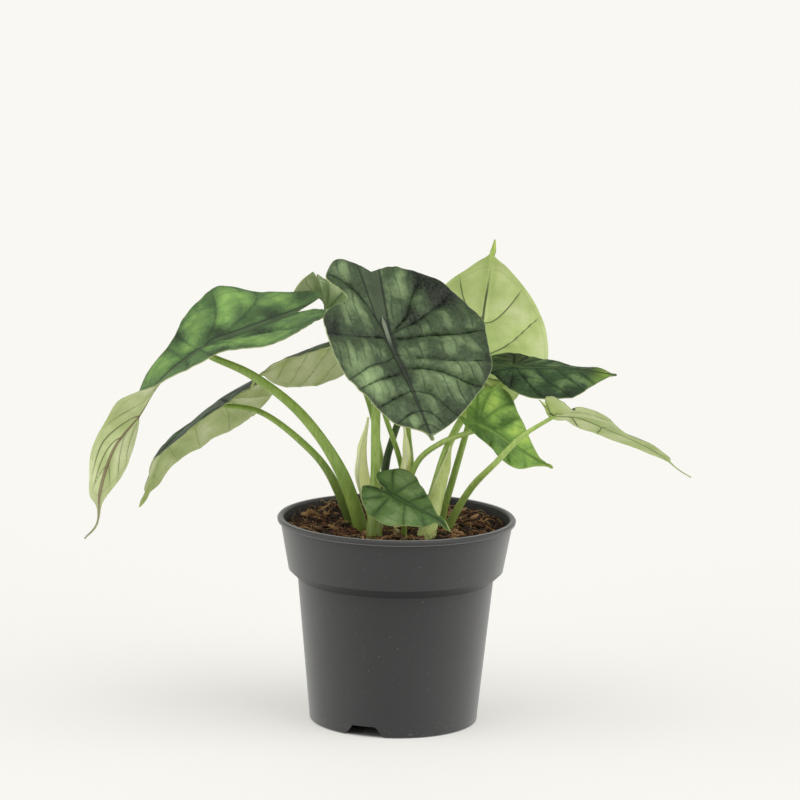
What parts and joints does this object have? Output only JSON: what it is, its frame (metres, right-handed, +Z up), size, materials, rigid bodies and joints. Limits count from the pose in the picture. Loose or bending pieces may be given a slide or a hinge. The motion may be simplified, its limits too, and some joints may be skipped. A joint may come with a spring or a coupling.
{
  "type": "potted dragon scale alocasia",
  "caption": "Clump of shield-shaped, ribbed aroid leaves on arching stalks, growing in a tapered nursery pot filled with coarse potting soil.",
  "frame": {"origin": "middle of the pot's foot, on the surface that it stands on", "axes": "+Z up along the pot's axis; -Y is the front, towards which the large front leaf faces; +X is the viewer's right"},
  "size_m": [0.3043, 0.1349, 0.2412],
  "materials": {
    "pot_plastic": "satin dark grey moulded plastic",
    "soil": "rough damp coir and bark",
    "leaf_dark": "satin, quilted upper face",
    "leaf_young": "satin, quilted upper face",
    "leaf_pale": "matt under face",
    "stalk": "satin",
    "stalk_dark": "satin",
    "sheath": "thin and papery"
  },
  "bodies": {
    "root": {"pot": "pot_plastic", "soil": "soil", "blade_front": "leaf_dark", "petiole_front": "stalk", "blade_left_high": "leaf_dark", "petiole_left_high": "stalk", "blade_left_low": "leaf_pale", "petiole_left_low": "stalk", "blade_left_mid": "leaf_pale", "petiole_left_mid": "stalk", "blade_back_curl": "leaf_pale", "petiole_back_curl": "stalk", "blade_back_low": "leaf_dark", "petiole_back_low": "stalk_dark", "blade_back_upright": "leaf_pale", "petiole_back_upright": "stalk", "blade_right_dark": "leaf_dark", "petiole_right_dark": "stalk", "blade_right_young": "leaf_young", "petiole_right_young": "stalk", "blade_far_right": "leaf_pale", "petiole_far_right": "stalk", "blade_small": "leaf_dark", "petiole_small": "stalk", "spear": "stalk", "sheath_left": "sheath", "sheath_mid": "sheath", "sheath_right": "sheath"}
  },
  "joints": []
}
